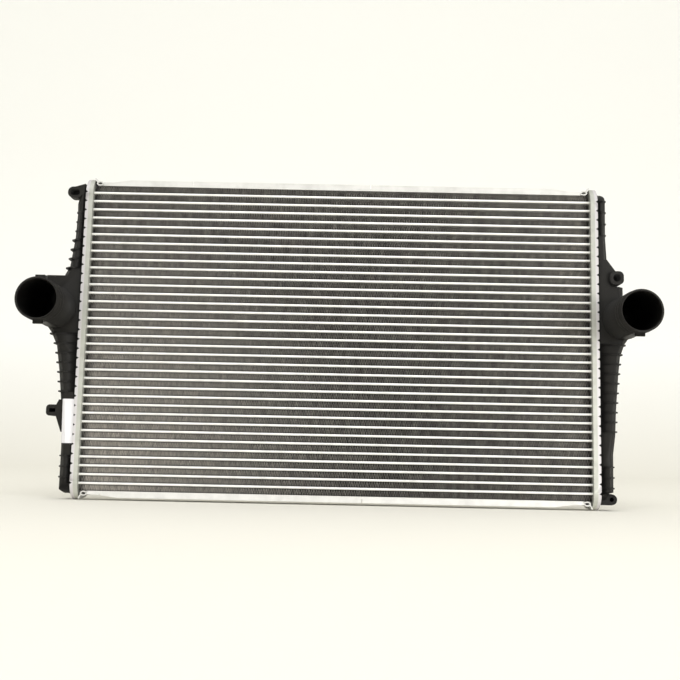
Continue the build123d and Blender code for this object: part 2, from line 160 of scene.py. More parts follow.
class MetalProperties(bpy.types.PropertyGroup):
    """Finish of the headers and side plates, and the sizes of the plates' rolled ends."""

    colour: bpy.props.FloatVectorProperty(
        name="Metal Colour", description="Colour of the brazed sheet",
        default=(0.58, 0.585, 0.525), subtype="COLOR",
    )
    tab_colour: bpy.props.FloatVectorProperty(
        name="Tab Colour", description="Colour of the bent crimp tabs",
        default=(0.68, 0.655, 0.66), subtype="COLOR",
    )
    plate_colour: bpy.props.FloatVectorProperty(
        name="Plate Colour", description="Colour of the side plates",
        default=(0.66, 0.655, 0.625), subtype="COLOR",
    )
    # Painted light: the lower side plate is a brighter, lit copy of the plate colour
    lower_lit_colour: bpy.props.FloatVectorProperty(
        name="Lower Plate Lit Colour", description="Colour of the brighter lower side plate",
        default=(0.80, 0.795, 0.765), subtype="COLOR",
    )
    tab_start: bpy.props.FloatProperty(
        name="Tab Start", description="Height of the crimp tabs above the header's floor",
        default=0.005, unit="LENGTH",
    )
    tab_blur: bpy.props.FloatProperty(
        name="Tab Blur", description="Over which half width the tabs' colour sets in",
        default=0.0003, unit="LENGTH",
    )
    # Painted shade: the headers are painted darker toward their top
    top_shade_tone: bpy.props.FloatProperty(
        name="Top Shade Tone", description="What is left of the headers' colour at their top",
        default=0.74,
    )
    plate_cut: bpy.props.FloatProperty(
        name="Plate Cut", description="From the header to where a side plate's end is rolled",
        default=0.0108, unit="LENGTH",
    )
    roll_sheet: bpy.props.FloatProperty(
        name="Roll Sheet", description="Thickness of the rolled ends", default=0.0015,
        unit="LENGTH",
    )


class TankProperties(bpy.types.PropertyGroup):
    """Finish of the moulded tanks and their gaskets, and the beads round the ports."""

    colour: bpy.props.FloatVectorProperty(
        name="Plastic Colour", description="Colour of the moulded nylon",
        default=(0.0110, 0.0101, 0.0086), subtype="COLOR",
    )
    gasket_colour: bpy.props.FloatVectorProperty(
        name="Gasket Colour", description="Colour of the tank gaskets",
        default=(0.02, 0.02, 0.02), subtype="COLOR",
    )
    corner_angle: bpy.props.FloatProperty(
        name="Corner Angle", description="Edges flatter than this are shaded as a rounding",
        default=math.radians(50), subtype="ANGLE",
    )
    port_radius: bpy.props.FloatProperty(
        name="Port Radius", description="Outer radius of a port's barrel", default=0.025,
        unit="LENGTH",
    )
    port_height: bpy.props.FloatProperty(
        name="Port Height", description="Height of the ports' axes", default=-0.0503,
        unit="LENGTH",
    )
    bead_proud: bpy.props.FloatProperty(
        name="Bead Height", description="How far the beads stand proud of the barrel",
        default=0.0004, unit="LENGTH",
    )
    bead_width: bpy.props.FloatProperty(
        name="Bead Width", description="Width of a bead along the barrel", default=0.0012,
        unit="LENGTH",
    )
    bead_places: bpy.props.FloatVectorProperty(
        name="Bead Places", description="Distances of the beads back from the mouth",
        default=(0.0095, 0.019, 0.0665), unit="LENGTH",
    )


class LabelProperties(bpy.types.PropertyGroup):
    """Finish of the blank label, and how far it laps past its flat place."""

    colour: bpy.props.FloatVectorProperty(
        name="Film Colour", description="Colour of the blank film",
        default=(0.87, 0.86, 0.885), subtype="COLOR",
    )
    right_lap: bpy.props.FloatProperty(
        name="Right Lap", description="How far the film reaches over the tank's neck",
        default=0.0012, unit="LENGTH",
    )
    left_laps: bpy.props.FloatVectorProperty(
        name="Left Laps", description="How far the film reaches round the corner, top and bottom",
        default=(0.0, 0.0028), size=2, unit="LENGTH",
    )


class StageProperties(bpy.types.PropertyGroup):
    """The studio: sweep, sky, lamps and camera."""

    sweep_width: bpy.props.FloatProperty(
        name="Sweep Width", description="Width of the studio sweep", default=30.0, unit="LENGTH"
    )
    sweep_back: bpy.props.FloatProperty(
        name="Sweep Back", description="From the core back to where the sweep starts to rise",
        default=1.5, unit="LENGTH",
    )
    sweep_radius: bpy.props.FloatProperty(
        name="Sweep Radius", description="Radius of the curve up to the wall",
        default=1.5, unit="LENGTH",
    )
    warm_height: bpy.props.FloatProperty(
        name="Warm Height", description="Height above the floor where the wall's colour is reached",
        default=0.5, unit="LENGTH",
    )
    floor_colour: bpy.props.FloatVectorProperty(
        name="Floor Colour", description="Colour of the sweep near the floor",
        default=(0.80, 0.78, 0.71), subtype="COLOR",
    )
    wall_colour: bpy.props.FloatVectorProperty(
        name="Wall Colour", description="Colour of the sweep high up",
        default=(0.96, 0.96, 0.925), subtype="COLOR",
    )
    sky_colour: bpy.props.FloatVectorProperty(
        name="Sky Colour", description="Colour of the light from all round",
        default=(1.0, 0.995, 0.975), subtype="COLOR",
    )
    sky: bpy.props.FloatProperty(
        name="Sky Strength", description="Strength of the light from front, back and above",
        default=1.18,
    )
    side_sky: bpy.props.FloatProperty(
        name="Side Strength", description="Strength of the light from the sides", default=0.8
    )
    side_span: bpy.props.FloatVectorProperty(
        name="Side Span", description="How sideways the side light starts, and where it is full",
        default=(0.25, 0.85), size=2,
    )
    key_place: bpy.props.FloatVectorProperty(
        name="Key Place", description="Where the low lamp on the right stands",
        default=(CORE_MIDDLE.x + 1.5, -1.4, FLOOR + 0.3), subtype="TRANSLATION",
    )
    key_size: bpy.props.FloatProperty(
        name="Key Size", description="Side of the low lamp", default=0.55, unit="LENGTH"
    )
    key_power: bpy.props.FloatProperty(
        name="Key Power", description="Power of the low lamp", default=15.0, unit="POWER"
    )
    top_place: bpy.props.FloatVectorProperty(
        name="Top Place", description="Where the high lamp hangs",
        default=(CORE_MIDDLE.x - 0.2, -1.2, 1.5), subtype="TRANSLATION",
    )
    top_size: bpy.props.FloatProperty(
        name="Top Size", description="Side of the high lamp", default=1.5, unit="LENGTH"
    )
    top_power: bpy.props.FloatProperty(
        name="Top Power", description="Power of the high lamp", default=12.0, unit="POWER"
    )
    camera_place: bpy.props.FloatVectorProperty(
        name="Camera Place", description="Where the camera stands",
        default=(-0.33213, -1.08068, -0.21514), subtype="TRANSLATION",
    )
    camera_pitch: bpy.props.FloatProperty(
        name="Camera Pitch", description="How far the camera looks up",
        default=math.radians(6.943), subtype="ANGLE",
    )
    camera_yaw: bpy.props.FloatProperty(
        name="Camera Yaw", description="How far the camera turns to the right",
        default=math.radians(-0.220), subtype="ANGLE",
    )
    camera_roll: bpy.props.FloatProperty(
        name="Camera Roll", description="How far the camera leans",
        default=math.radians(1.234), subtype="ANGLE",
    )
    lens: bpy.props.FloatProperty(
        name="Focal Length", description="On a 36 mm wide sensor, in mm", default=47.647
    )


# ---------------------------------------------------------------- shader node groups
class Tree:
    """Adds nodes to a tree and links them by socket name."""

    def __init__(self, tree):
        self.tree = tree

    def node(self, kind, values=None, **settings):
        """Adds a node with its settings, and links or sets its sockets."""
        made = self.tree.nodes.new(kind)
        for name, value in settings.items():
            setattr(made, name, value)
        for name, value in (values or {}).items():
            if isinstance(value, bpy.types.NodeSocket):
                self.tree.links.new(value, made.inputs[name])
            else:
                made.inputs[name].default_value = value
        return made


def shader_group(name, inputs, outputs):
    """An empty shader node group with the named sockets."""
    group = bpy.data.node_groups.new(name, "ShaderNodeTree")
    for label, kind, default in inputs:
        socket = group.interface.new_socket(label, in_out="INPUT", socket_type=kind)
        if default is not None:
            socket.default_value = default
    for label, kind in outputs:
        group.interface.new_socket(label, in_out="OUTPUT", socket_type=kind)
    return group


def stretched_noise(build, place, stretch, detail):
    """Noise whose grain is narrowed along each axis, in grains per metre."""
    stretched = build.node(
        "ShaderNodeVectorMath", {0: place, 1: stretch}, operation="MULTIPLY"
    ).outputs["Vector"]
    noise = build.node("ShaderNodeTexNoise", {"Vector": stretched, "Scale": 1.0, "Detail": detail})
    return noise.outputs["Fac"]


def mould_grain_group():
    """Fine grain and slow patches, as a height and a mask."""
    group = shader_group(
        "mould_grain",
        [
            ("Vector", "NodeSocketVector", None),
            ("Grain Scale", "NodeSocketFloat", 1500.0),
            ("Patch Scale", "NodeSocketFloat", 30.0),
        ],
        [("Height", "NodeSocketFloat"), ("Patches", "NodeSocketFloat")],
    )
    build = Tree(group)
    given = build.node("NodeGroupInput")
    grain = build.node(
        "ShaderNodeTexNoise",
        {"Vector": given.outputs["Vector"], "Scale": given.outputs["Grain Scale"], "Detail": 3.0},
    )
    patches = build.node(
        "ShaderNodeTexNoise",
        {"Vector": given.outputs["Vector"], "Scale": given.outputs["Patch Scale"], "Detail": 4.0},
    )
    build.node(
        "NodeGroupOutput",
        {"Height": grain.outputs["Fac"], "Patches": patches.outputs["Fac"]},
    )
    return group


def drawn_metal_group():
    """Long faint draw lines and braze stains, as a height and a mask."""
    group = shader_group(
        "drawn_metal",
        [
            ("Vector", "NodeSocketVector", None),
            ("Stretch", "NodeSocketVector", (20.0, 900.0, 900.0)),
            ("Stain Scale", "NodeSocketFloat", 60.0),
        ],
        [("Height", "NodeSocketFloat"), ("Stains", "NodeSocketFloat")],
    )
    build = Tree(group)
    given = build.node("NodeGroupInput")
    lines = stretched_noise(build, given.outputs["Vector"], given.outputs["Stretch"], detail=2.0)
    stains = build.node(
        "ShaderNodeTexNoise",
        {"Vector": given.outputs["Vector"], "Scale": given.outputs["Stain Scale"], "Detail": 5.0},
    )
    build.node("NodeGroupOutput", {"Height": lines, "Stains": stains.outputs["Fac"]})
    return group


# ---------------------------------------------------------------- materials
def new_material(name):
    """A material with its own tree, a shader and object coordinates."""
    material = bpy.data.materials.new(name)
    material.use_nodes = True
    material.node_tree.nodes.clear()
    build = Tree(material.node_tree)
    shader = build.node("ShaderNodeBsdfPrincipled")
    build.node("ShaderNodeOutputMaterial", {"Surface": shader.outputs["BSDF"]})
    place = build.node("ShaderNodeTexCoord").outputs["Object"]
    return material, build, shader, place


def blend_colours(build, factor, first, second):
    """A colour between two others."""
    mix = build.node("ShaderNodeMix", data_type="RGBA")
    build.tree.links.new(factor, mix.inputs["Factor"])
    for label, value in (("A", first), ("B", second)):
        socket = [s for s in mix.inputs if s.name == label and s.type == "RGBA"][0]
        if isinstance(value, bpy.types.NodeSocket):
            build.tree.links.new(value, socket)
        else:
            socket.default_value = (*value, 1.0)
    return [s for s in mix.outputs if s.type == "RGBA"][0]


def shade(colour, amount):
    """A colour made lighter or darker."""
    return tuple(min(1.0, part * amount) for part in colour)


def spread(build, value, given, wanted):
    """A value mapped from one range to another, held at both ends."""
    low, high = given
    to_low, to_high = wanted
    return build.node(
        "ShaderNodeMapRange",
        {"Value": value, "From Min": low, "From Max": high, "To Min": to_low, "To Max": to_high},
    ).outputs["Result"]


def maths(build, operation, first, second=0.0):
    """The result of one Math node on two values."""
    return build.node("ShaderNodeMath", {0: first, 1: second}, operation=operation).outputs[0]


def coordinate(build, place, axis):
    """One coordinate of a place."""
    return build.node("ShaderNodeSeparateXYZ", {"Vector": place}).outputs[axis]


def across_core(build, place):
    """How far a point lies to the right of the core's middle, and how far to either side."""
    right = maths(build, "SUBTRACT", coordinate(build, place, "X"), CORE_MIDDLE.x)
    return right, maths(build, "ABSOLUTE", right)


def dimmed(build, colour, amount):
    """A colour made lighter or darker by a value from the node tree."""
    return build.node(
        "ShaderNodeVectorMath", {0: colour, "Scale": amount}, operation="SCALE"
    ).outputs["Vector"]


def bump(build, shader, height, depth):
    """Feeds a height to the shader's normal."""
    made = build.node("ShaderNodeBump", {"Height": height, "Distance": depth, "Strength": 1.0})
    build.tree.links.new(made.outputs["Normal"], shader.inputs["Normal"])


def plastic_material(name, colour, rough=(0.46, 0.6), grain_depth=0.00004):
    """Moulded black nylon: fine grain, paler rubbed patches, and painted shade where nearby
    surfaces close it in.
    """
    dull, rubbed = shade(colour, 0.85), shade(colour, 1.35)
    patch_noise = (0.35, 0.75)
    look_round = 0.05  # only what stands nearer than this closes a point in
    open_shares, shade_tones = (0.35, 0.95), (0.25, 1.2)
    material, build, shader, place = new_material(name)
    grain = build.node("ShaderNodeGroup", node_tree=bpy.data.node_groups["mould_grain"])
    build.tree.links.new(place, grain.inputs["Vector"])
    worn = spread(build, grain.outputs["Patches"], patch_noise, MASK)
    patchy = blend_colours(build, worn, dull, rubbed)
    # Painted shade: ambient occlusion darkens the colour in crevices and near other surfaces
    open_air = build.node("ShaderNodeAmbientOcclusion", {"Distance": look_round}, samples=6)
    tone = spread(build, open_air.outputs["AO"], open_shares, shade_tones)
    build.tree.links.new(dimmed(build, patchy, tone), shader.inputs["Base Color"])
    shader.inputs["Specular IOR Level"].default_value = 0.2
    roughness = spread(build, grain.outputs["Patches"], NOISE, rough)
    build.tree.links.new(roughness, shader.inputs["Roughness"])
    bump(build, shader, grain.outputs["Height"], grain_depth)
    return material


def metal_material(
    name, colour, metallic=0.25, rough=(0.37, 0.55), stretch=(20.0, 900.0, 900.0), depth=0.00003
):
    """Brazed aluminium: pale, dull, with faint draw lines and stains. Also gives the parts of the
    material that a finer one goes on with."""
    stain_noise = (0.42, 0.75)
    material, build, shader, place = new_material(name)
    drawn = build.node("ShaderNodeGroup", node_tree=bpy.data.node_groups["drawn_metal"])
    build.tree.links.new(place, drawn.inputs["Vector"])
    drawn.inputs["Stretch"].default_value = stretch
    stained = spread(build, drawn.outputs["Stains"], stain_noise, MASK)
    colours = blend_colours(build, stained, colour, shade(colour, 0.82))
    build.tree.links.new(colours, shader.inputs["Base Color"])
    roughness = spread(build, drawn.outputs["Stains"], NOISE, rough)
    build.tree.links.new(roughness, shader.inputs["Roughness"])
    shader.inputs["Metallic"].default_value = metallic
    bump(build, shader, drawn.outputs["Height"], depth)
    return material, build, shader, place, colours


def header_material(settings):
    """The header's brazed floor edge and its paler crimp tabs, split by distance from the core, and
    all of it painted darker toward the top as painted shade."""
    material, build, shader, place, colours = metal_material(
        "header_metal", tuple(settings.colour), stretch=(600.0, 600.0, 15.0)
    )
    start, blur = HEADER_FACE + settings.tab_start, settings.tab_blur
    tab = spread(build, across_core(build, place)[1], (start - blur, start + blur), MASK)
    split = blend_colours(build, tab, colours, tuple(settings.tab_colour))
    # Painted shade: darker toward the header's top
    height = coordinate(build, place, "Z")
    tone = spread(build, height, (FLOOR, HEADER[1].z), (1.0, settings.top_shade_tone))
    build.tree.links.new(dimmed(build, split, tone), shader.inputs["Base Color"])
    return material


def fin_colours_and_sheen(build, place, settings):
    """The strips' colours: dull patches, and a painted sheen that makes the lower left corner
    paler.
    """
    colour = tuple(settings.colour)
    dull, pale = settings.patch_range
    patch_noise = (0.35, 0.68)
    patches = stretched_noise(build, place, settings.patch_stretch, detail=4.0)
    worn = spread(build, patches, patch_noise, MASK)
    patchy = blend_colours(build, worn, shade(colour, dull), shade(colour, pale))
    # Painted sheen: the colour turns paler toward the lower left corner of the core
    corner = (FINS[0].x, CORE_MIDDLE.y, FINS[0].z)
    reach = build.node("ShaderNodeVectorMath", {0: place, 1: corner}, operation="DISTANCE")
    painted_sheen = spread(build, reach.outputs["Value"], settings.painted_sheen_reach, FADE)
    return blend_colours(build, painted_sheen, patchy, tuple(settings.painted_sheen_colour))


def fin_tone(build, place, settings):
    """The strips' tone: upright streaks, painted shade at the ends next to the headers, and painted
    light that makes them paler toward the right.
    """
    streaks = stretched_noise(build, place, settings.streak_stretch, detail=2.0)
    streaked = spread(build, streaks, NOISE, settings.streak_range)
    right, away = across_core(build, place)
    # Painted shade: darker at the ends next to the headers
    fade_start = HEADER_FACE - settings.end_shade
    ends = spread(build, away, (fade_start, HEADER_FACE), (1.0, settings.end_shade_tone))
    # Painted light: paler toward the right-hand header
    lift = spread(build, right, (0.0, HEADER_FACE), (1.0, settings.right_light_lift))
    return maths(build, "MULTIPLY", maths(build, "MULTIPLY", streaked, ends), lift)


def fin_edge_shade(build, place):
    """A mask of painted shade along the strips' upper and lower edges, next to the tubes."""
    inner, outer = FIN_HEIGHT * 0.3, FIN_HEIGHT / 2
    lifted = maths(build, "SUBTRACT", coordinate(build, place, "Z"), FINS[0].z)
    in_row = maths(build, "FLOORED_MODULO", lifted, TUBE_PITCH)
    off_middle = maths(build, "SUBTRACT", in_row, FIN_HEIGHT / 2)
    away = maths(build, "ABSOLUTE", off_middle)
    return spread(build, away, (inner, outer), MASK)


def fin_material(settings):
    """Bare folded strip: patches and streaks, with painted shade toward the tubes and the headers,
    a painted sheen low on the left and painted light toward the right.
    """
    colour = tuple(settings.colour)
    material, build, shader, place, _ = metal_material(
        "fin_metal", colour, metallic=0.35, rough=(0.42, 0.6), stretch=(2500.0, 60.0, 400.0)
    )
    tone = fin_tone(build, place, settings)
    toned = dimmed(build, fin_colours_and_sheen(build, place, settings), tone)
    # Painted shade: darker along the strips' edges next to the tubes
    darker = blend_colours(
        build, fin_edge_shade(build, place), toned, shade(colour, settings.edge_shade_tone)
    )
    build.tree.links.new(darker, shader.inputs["Base Color"])
    return material


def plain_material(name, colour, rough, grain_depth=0.00001):
    """Rubber or film: one colour broken up by slow patches, with a fine grain."""
    material, build, shader, place = new_material(name)
    grain = build.node("ShaderNodeGroup", node_tree=bpy.data.node_groups["mould_grain"])
    build.tree.links.new(place, grain.inputs["Vector"])
    worn = spread(build, grain.outputs["Patches"], NOISE, MASK)
    colours = blend_colours(build, worn, colour, shade(colour, 0.93))
    build.tree.links.new(colours, shader.inputs["Base Color"])
    shader.inputs["Roughness"].default_value = rough
    bump(build, shader, grain.outputs["Height"], grain_depth)
    return material


# ---------------------------------------------------------------- geometry helpers
def mesh_object(name, verts, faces):
    """A mesh object at the origin."""
    mesh = bpy.data.meshes.new(name)
    mesh.from_pydata(verts, [], faces)
    mesh.update()
    made = bpy.data.objects.new(name, mesh)
    bpy.context.scene.collection.objects.link(made)
    return made


def copy_of(node, name):
    """The CAD node's mesh as a new object, with its doubles and its flat faces merged."""
    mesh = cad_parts[node].data.copy()
    work = bmesh.new()
    work.from_mesh(mesh)
    bmesh.ops.remove_doubles(work, verts=work.verts, dist=MERGE_DISTANCE)
    bmesh.ops.dissolve_limit(work, angle_limit=FLAT_ANGLE, verts=work.verts, edges=work.edges)
    work.to_mesh(mesh)
    work.free()
    made = bpy.data.objects.new(name, mesh)
    bpy.context.scene.collection.objects.link(made)
    return made


def baked(made):
    """The object with its modifiers turned into plain mesh."""
    graph = bpy.context.evaluated_depsgraph_get()
    mesh = bpy.data.meshes.new_from_object(made.evaluated_get(graph))
    made.modifiers.clear()
    made.data = mesh
    return made


def smooth(made, crease):
    """Shades a mesh smooth, apart from the edges that turn more than an angle."""
    made.data.shade_smooth()
    made.data.set_sharp_from_angle(angle=crease)


def outward(made):
    """Turns the faces of a closed mesh to face outwards."""
    work = bmesh.new()
    work.from_mesh(made.data)
    bmesh.ops.recalc_face_normals(work, faces=work.faces)
    work.to_mesh(made.data)
    work.free()


def paint(made, material):
    """Gives the whole object one material."""
    made.data.materials.clear()
    made.data.materials.append(material)


def finish_piece(made, slot, *nodes):
    """Puts a finished piece on the body, in place of its CAD nodes."""
    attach(made, BODY)
    if nodes:
        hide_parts(*nodes)


def repeat_tree():
    """Geometry Nodes: repeats the given piece along a row, then repeats the row upwards."""
    tree = bpy.data.node_groups.new("repeat_in_rows", "GeometryNodeTree")
    face = tree.interface
    face.new_socket("Piece", in_out="INPUT", socket_type="NodeSocketGeometry")
    for label, kind in (
        ("Count", "NodeSocketInt"),
        ("Step", "NodeSocketFloat"),
        ("Rows", "NodeSocketInt"),
        ("Row Step", "NodeSocketFloat"),
        ("Material", "NodeSocketMaterial"),
    ):
        face.new_socket(label, in_out="INPUT", socket_type=kind)
    face.new_socket("Pieces", in_out="OUTPUT", socket_type="NodeSocketGeometry")
    build = Tree(tree)
    given = build.node("NodeGroupInput").outputs
    along = build.node("ShaderNodeCombineXYZ", {"X": given["Step"]})
    row = build.node(
        "GeometryNodeMeshLine", {"Count": given["Count"], "Offset": along.outputs["Vector"]}
    )
    pieces = build.node(
        "GeometryNodeInstanceOnPoints",
        {"Points": row.outputs["Mesh"], "Instance": given["Piece"]},
    )
    one_row = build.node(
        "GeometryNodeRealizeInstances", {"Geometry": pieces.outputs["Instances"]}
    )
    joined = build.node(
        "GeometryNodeMergeByDistance",
        {"Geometry": one_row.outputs["Geometry"], "Distance": MERGE_DISTANCE},
    )
    upwards = build.node("ShaderNodeCombineXYZ", {"Z": given["Row Step"]})
    column = build.node(
        "GeometryNodeMeshLine", {"Count": given["Rows"], "Offset": upwards.outputs["Vector"]}
    )
    rows = build.node(
        "GeometryNodeInstanceOnPoints",
        {"Points": column.outputs["Mesh"], "Instance": joined.outputs["Geometry"]},
    )
    plain = build.node("GeometryNodeRealizeInstances", {"Geometry": rows.outputs["Instances"]})
    painted = build.node(
        "GeometryNodeSetMaterial",
        {"Geometry": plain.outputs["Geometry"], "Material": given["Material"]},
    )
    build.node("NodeGroupOutput", {"Pieces": painted.outputs["Geometry"]})
    return tree


def repeat(made, **inputs):
    """Runs the repeat tree on an object and leaves a plain mesh."""
    tree = bpy.data.node_groups.get("repeat_in_rows") or repeat_tree()
    modifier = made.modifiers.new("repeat", "NODES")
    modifier.node_group = tree
    sockets = {item.name: item.identifier for item in tree.interface.items_tree}
    for name, value in inputs.items():
        modifier[sockets[name.replace("_", " ").title()]] = value
    return baked(made)


# ---------------------------------------------------------------- operators
class COOLER_OT_tubes(bpy.types.Operator):
    """Builds the flat tubes with fully round noses"""

    bl_idname = "cooler.tubes"
    bl_label = "Build Tubes"

    def execute(self, context):
        settings = context.scene.cooler_tubes
        low, high = LAST_TUBE
        radius = TUBE_HEIGHT / 2
        middle = (low + high) / 2
        outline = []
        for nose, turn in ((high.y - radius, -90), (low.y + radius, 90)):
            for step in range(settings.nose_steps + 1):
                angle = math.radians(turn + 180 * step / settings.nose_steps)
                outline.append(
                    (nose + radius * math.cos(angle), middle.z + radius * math.sin(angle))
                )
        count = len(outline)
        verts = [(x, y, z) for x in (low.x, high.x) for y, z in outline]
        faces = [(i, (i + 1) % count, count + (i + 1) % count, count + i) for i in range(count)]
        faces += [tuple(reversed(range(count))), tuple(range(count, 2 * count))]
        tubes = mesh_object("flat_tubes", verts, faces)
        metal = metal_material("tube_metal", tuple(settings.colour))[0]
        repeat(tubes, count=1, step=0.0, rows=len(TUBES), row_step=TUBE_PITCH, material=metal)
        smooth(tubes, math.radians(40))
        finish_piece(tubes, "tube_metal", *TUBES)
        return {"FINISHED"}


class COOLER_OT_fins(bpy.types.Operator):
    """Builds the folded fin strips, a lower and an upper half"""

    bl_idname = "cooler.fins"
    bl_label = "Build Fins"

    def fold(self, settings, length, name, bottom):
        """One fold: a thin sheet up and down again, swinging from side to side in depth."""
        low, high = FINS
        lift = settings.sheet * math.hypot(length / 2, FIN_HEIGHT) / length
        crest = FIN_HEIGHT / 2 - lift
        middle = bottom + FIN_HEIGHT / 2
        section = [(0.0, -crest), (length / 2, crest), (length, -crest)]
        verts, faces = [], []
        steps = len(settings.swings) - 1
        for step, swing in enumerate(settings.swings):
            depth = low.y + (high.y - low.y) * step / steps
            for side in (lift, -lift):
                for along, rise in section:
                    x = low.x - settings.reach + along + swing
                    verts.append((x, depth, middle + rise + side))
        row = len(section)
        ring = 2 * row
        for step in range(steps):
            near, far = ring * step, ring * (step + 1)
            for leg in range(row - 1):
                under = leg + row
                faces.append((near + leg, near + leg + 1, far + leg + 1, far + leg))
                faces.append((near + under + 1, near + under, far + under, far + under + 1))
        last = ring * steps
        for leg in range(row - 1):
            under = leg + row
            faces.append((leg + 1, leg, under, under + 1))
            faces.append((last + leg, last + leg + 1, last + under + 1, last + under))
        return mesh_object(name, verts, faces)

    def execute(self, context):
        settings = context.scene.cooler_fins
        length = FINS[1].x - FINS[0].x + 2 * settings.reach
        folds = round(length / settings.pitch)
        rows = len(TUBES) + 1
        lower = rows // 2
        metal = fin_material(settings)
        halves = (("fins_lower", 0, lower), ("fins_upper", lower, rows - lower))
        for name, first, count in halves:
            strip = self.fold(settings, length / folds, name, FINS[0].z + first * TUBE_PITCH)
            repeat(
                strip, count=folds, step=length / folds,
                rows=count, row_step=TUBE_PITCH, material=metal,
            )
            finish_piece(strip, "fin_metal", "fins")
        return {"FINISHED"}


class COOLER_OT_headers(bpy.types.Operator):
    """Finishes the headers with their crimp tabs"""

    bl_idname = "cooler.headers"
    bl_label = "Finish Headers"

    def execute(self, context):
        metal = header_material(context.scene.cooler_metal)
        for node in ("header_right", "header_left"):
            header = copy_of(node, node + "_finished")
            paint(header, metal)
            smooth(header, math.radians(30))
            finish_piece(header, "header_metal", node)
        return {"FINISHED"}


class COOLER_OT_side_plates(bpy.types.Operator):
    """Finishes the side plates above and below the core"""

    bl_idname = "cooler.side_plates"
    bl_label = "Finish Side Plates"

    # The roll seen from the front: its middle and half sizes, its bent start and the foot on the
    # header, all as (distance from the header, distance out from the core), in metres
    roll_middle = (0.0066, 0.0030)
    roll_half = (0.0034, 0.0022)
    roll_start = ((0.0114, 0.0007), (0.0098, 0.0012))
    roll_angle = math.radians(50)  # where the start meets the turn
    roll_steps = 20
    foot = ((0.0034, 0.0046), (0.0021, 0.0062), (0.0006, 0.0092))
    foot_inset = 0.0002  # from the roll's faces back to the foot's

    def trim(self, plate, cut):
        """Takes the ends off a plate and closes the cuts."""
        work = bmesh.new()
        work.from_mesh(plate.data)
        for way in (-1, 1):
            place = Vector((CORE_MIDDLE.x + way * (HEADER_FACE - cut), 0.0, 0.0))
            found = bmesh.ops.bisect_plane(
                work, geom=work.verts[:] + work.edges[:] + work.faces[:],
                plane_co=place, plane_no=(way, 0.0, 0.0), clear_outer=True,
            )
            edges = [item for item in found["geom_cut"] if isinstance(item, bmesh.types.BMEdge)]
            bmesh.ops.holes_fill(work, edges=edges)
        work.to_mesh(plate.data)
        work.free()

    def turn(self):
        """The bent start and the turn of the roll, which stops just short of itself."""
        path = list(self.roll_start)
        for step in range(self.roll_steps - 1):
            angle = self.roll_angle + 2 * math.pi * step / self.roll_steps
            path.append((
                self.roll_middle[0] + self.roll_half[0] * math.cos(angle),
                self.roll_middle[1] - self.roll_half[1] * math.sin(angle),
            ))
        return path

    def sheet_rows(self, path, way, side, start, sheet):
        """The sheet along a path as two rows of points, one for each face. way is -1 at the left
        header and 1 at the right one, side is 1 above the core and -1 below it."""
        rows = ([], [])
        for number, (along, out) in enumerate(path):
            before, after = path[max(number - 1, 0)], path[min(number + 1, len(path) - 1)]
            run = Vector((after[0] - before[0], after[1] - before[1])).normalized()
            for row, lift in zip(rows, (-sheet / 2, sheet / 2)):
                x = CORE_MIDDLE.x + way * (HEADER_FACE - along + run.y * lift)
                row.append((x, start + side * (out + run.x * lift)))
        return rows

    def bent_sheet(self, verts, faces, rows, depths):
        """Adds a sheet between two depths, closed all round. Its corners are the starts of its four
        long edges, in order round its end."""
        first, count = len(verts), len(rows[0])
        for y in depths:
            verts += [(x, y, z) for row in rows for x, z in row]
        corners = [first + count * number for number in (0, 1, 3, 2)]
        for i in range(count - 1):
            for one, two in zip(corners, corners[1:] + corners[:1]):
                faces.append((one + i, one + i + 1, two + i + 1, two + i))
        faces.append(tuple(corners))
        faces.append(tuple(corner + count - 1 for corner in reversed(corners)))

    def execute(self, context):
        settings = context.scene.cooler_metal
        metal = metal_material("plate_metal", tuple(settings.plate_colour))[0]
        # Painted light: a brighter, lit copy of the plate metal for the lower plate
        lower = metal_material("lower_plate_lit_metal", tuple(settings.lower_lit_colour))[0]
        verts, faces = [], []
        for node, side, finish in (
            ("side_plate_top", 1, metal), ("side_plate_bottom", -1, lower),
        ):
            plate = copy_of(node, node + "_finished")
            self.trim(plate, settings.plate_cut)
            paint(plate, finish)
            finish_piece(plate, "plate_metal", node)
            low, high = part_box(node)
            start = low.z if side > 0 else high.z
            for way in (-1, 1):
                for path, inset in ((self.turn(), 0.0), (self.foot, self.foot_inset)):
                    rows = self.sheet_rows(path, way, side, start, settings.roll_sheet)
                    self.bent_sheet(verts, faces, rows, (low.y + inset, high.y - inset))
        rolls = mesh_object("side_plate_rolls", verts, faces)
        outward(rolls)
        paint(rolls, metal)
        finish_piece(rolls, "plate_metal")
        return {"FINISHED"}


